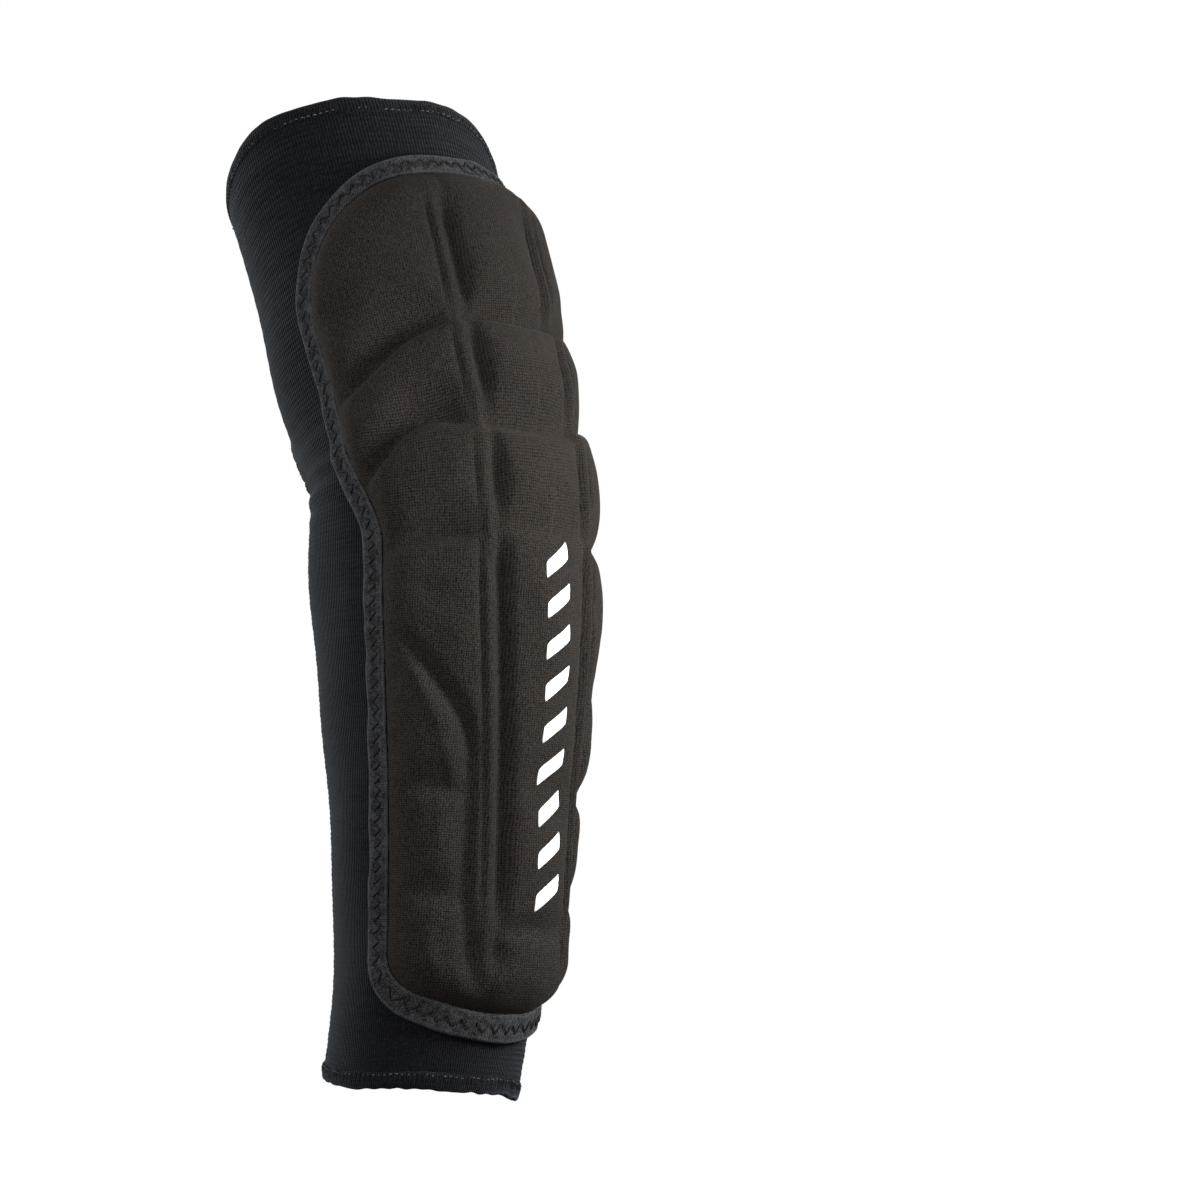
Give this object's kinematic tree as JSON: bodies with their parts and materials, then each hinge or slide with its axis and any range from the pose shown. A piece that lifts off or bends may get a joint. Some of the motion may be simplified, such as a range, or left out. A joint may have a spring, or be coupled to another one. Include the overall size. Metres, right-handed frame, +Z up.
{
  "type": "forearm guard",
  "caption": "Padded forearm and elbow guard: an elastic knit sleeve with a crease opening and a bound, segmented foam pad.",
  "frame": {"origin": "centre of the wrist opening, in the plane of the wrist hem's end", "axes": "+Z up along the forearm to the elbow, +X out of the middle of the pad, the crease opening on -X, Y across the arm"},
  "size_m": [0.1614, 0.114, 0.3849],
  "materials": {
    "knit": "ribbed elastic knit, near black with a blue tint",
    "hem": "rolled and overlocked knit edge",
    "lining": "plain grey lining cloth",
    "cover_cloth": "fine woven polyester, warm black, moulded over foam",
    "foam": "closed-cell foam, matt",
    "binding_tape": "folded woven tape, blue-grey black",
    "thread": "polyester sewing thread",
    "print": "white screen-printed film"
  },
  "bodies": {
    "forearm": {"sleeve_forearm": "knit", "sleeve_elbow": "knit", "wrist_hem": "hem", "wrist_hem_stitching": "thread", "crease_binding_stitching": "thread", "crease_binding": "binding_tape", "pad_backing_forearm": "lining", "pad_backing_elbow": "lining", "pad_cover_forearm": "cover_cloth", "pad_cover_elbow": "cover_cloth", "pad_binding_forearm": "binding_tape", "pad_binding_elbow_left": "binding_tape", "pad_binding_elbow_right": "binding_tape", "pad_binding_stitching_forearm": "thread", "pad_binding_stitching_elbow_left": "thread", "pad_binding_stitching_elbow_right": "thread", "foam_wing_left_4": "foam", "foam_wing_left_5": "foam", "foam_wing_left_6": "foam", "foam_wing_left_7": "foam", "foam_rib_left": "foam", "foam_wing_right_4": "foam", "foam_wing_right_5": "foam", "foam_wing_right_6": "foam", "foam_wing_right_7": "foam", "foam_rib_right": "foam", "foam_centre_4": "foam", "foam_centre_5": "foam", "print_bar_1": "print", "print_bar_2": "print", "print_bar_3": "print", "print_bar_4": "print", "print_bar_5": "print", "print_bar_6": "print", "print_bar_7": "print", "print_bar_8": "print", "print_bar_9": "print"},
    "upper_arm": {"sleeve_upper_arm": "knit", "biceps_hem": "hem", "biceps_hem_stitching": "thread", "pad_backing_upper_arm": "lining", "pad_cover_upper_arm": "cover_cloth", "pad_binding_upper_arm": "binding_tape", "pad_binding_stitching_upper_arm": "thread", "foam_centre_1": "foam", "foam_wing_left_1": "foam", "foam_wing_right_1": "foam"},
    "elbow_row_upper": {"foam_centre_2": "foam", "foam_wing_left_2": "foam", "foam_wing_right_2": "foam"},
    "elbow_row_lower": {"foam_centre_3": "foam", "foam_wing_left_3": "foam", "foam_wing_right_3": "foam"}
  },
  "joints": [
    {"name": "elbow_flex", "type": "hinge", "parent": "forearm", "child": "upper_arm", "pos_m": [0.0287, 0, 0.2386], "axis": [0, -1, 0], "range_deg": [-20, 45], "stiffness_Nm_per_rad": 1.2, "deforming": ["sleeve_elbow", "crease_binding", "crease_binding_stitching", "pad_backing_elbow", "pad_cover_elbow", "pad_binding_elbow_left", "pad_binding_elbow_right", "pad_binding_stitching_elbow_left", "pad_binding_stitching_elbow_right"]},
    {"name": "elbow_row_upper_flex", "type": "hinge", "parent": "forearm", "child": "elbow_row_upper", "pos_m": [0.0287, 0, 0.2386], "axis": [0, -1, 0], "range_deg": [-16, 36]},
    {"name": "elbow_row_lower_flex", "type": "hinge", "parent": "forearm", "child": "elbow_row_lower", "pos_m": [0.0287, 0, 0.2386], "axis": [0, -1, 0], "range_deg": [-8, 18]}
  ],
  "couplings": [
    {"joint": "elbow_row_upper_flex", "follows": "elbow_flex", "ratio": 0.8},
    {"joint": "elbow_row_lower_flex", "follows": "elbow_flex", "ratio": 0.4}
  ]
}
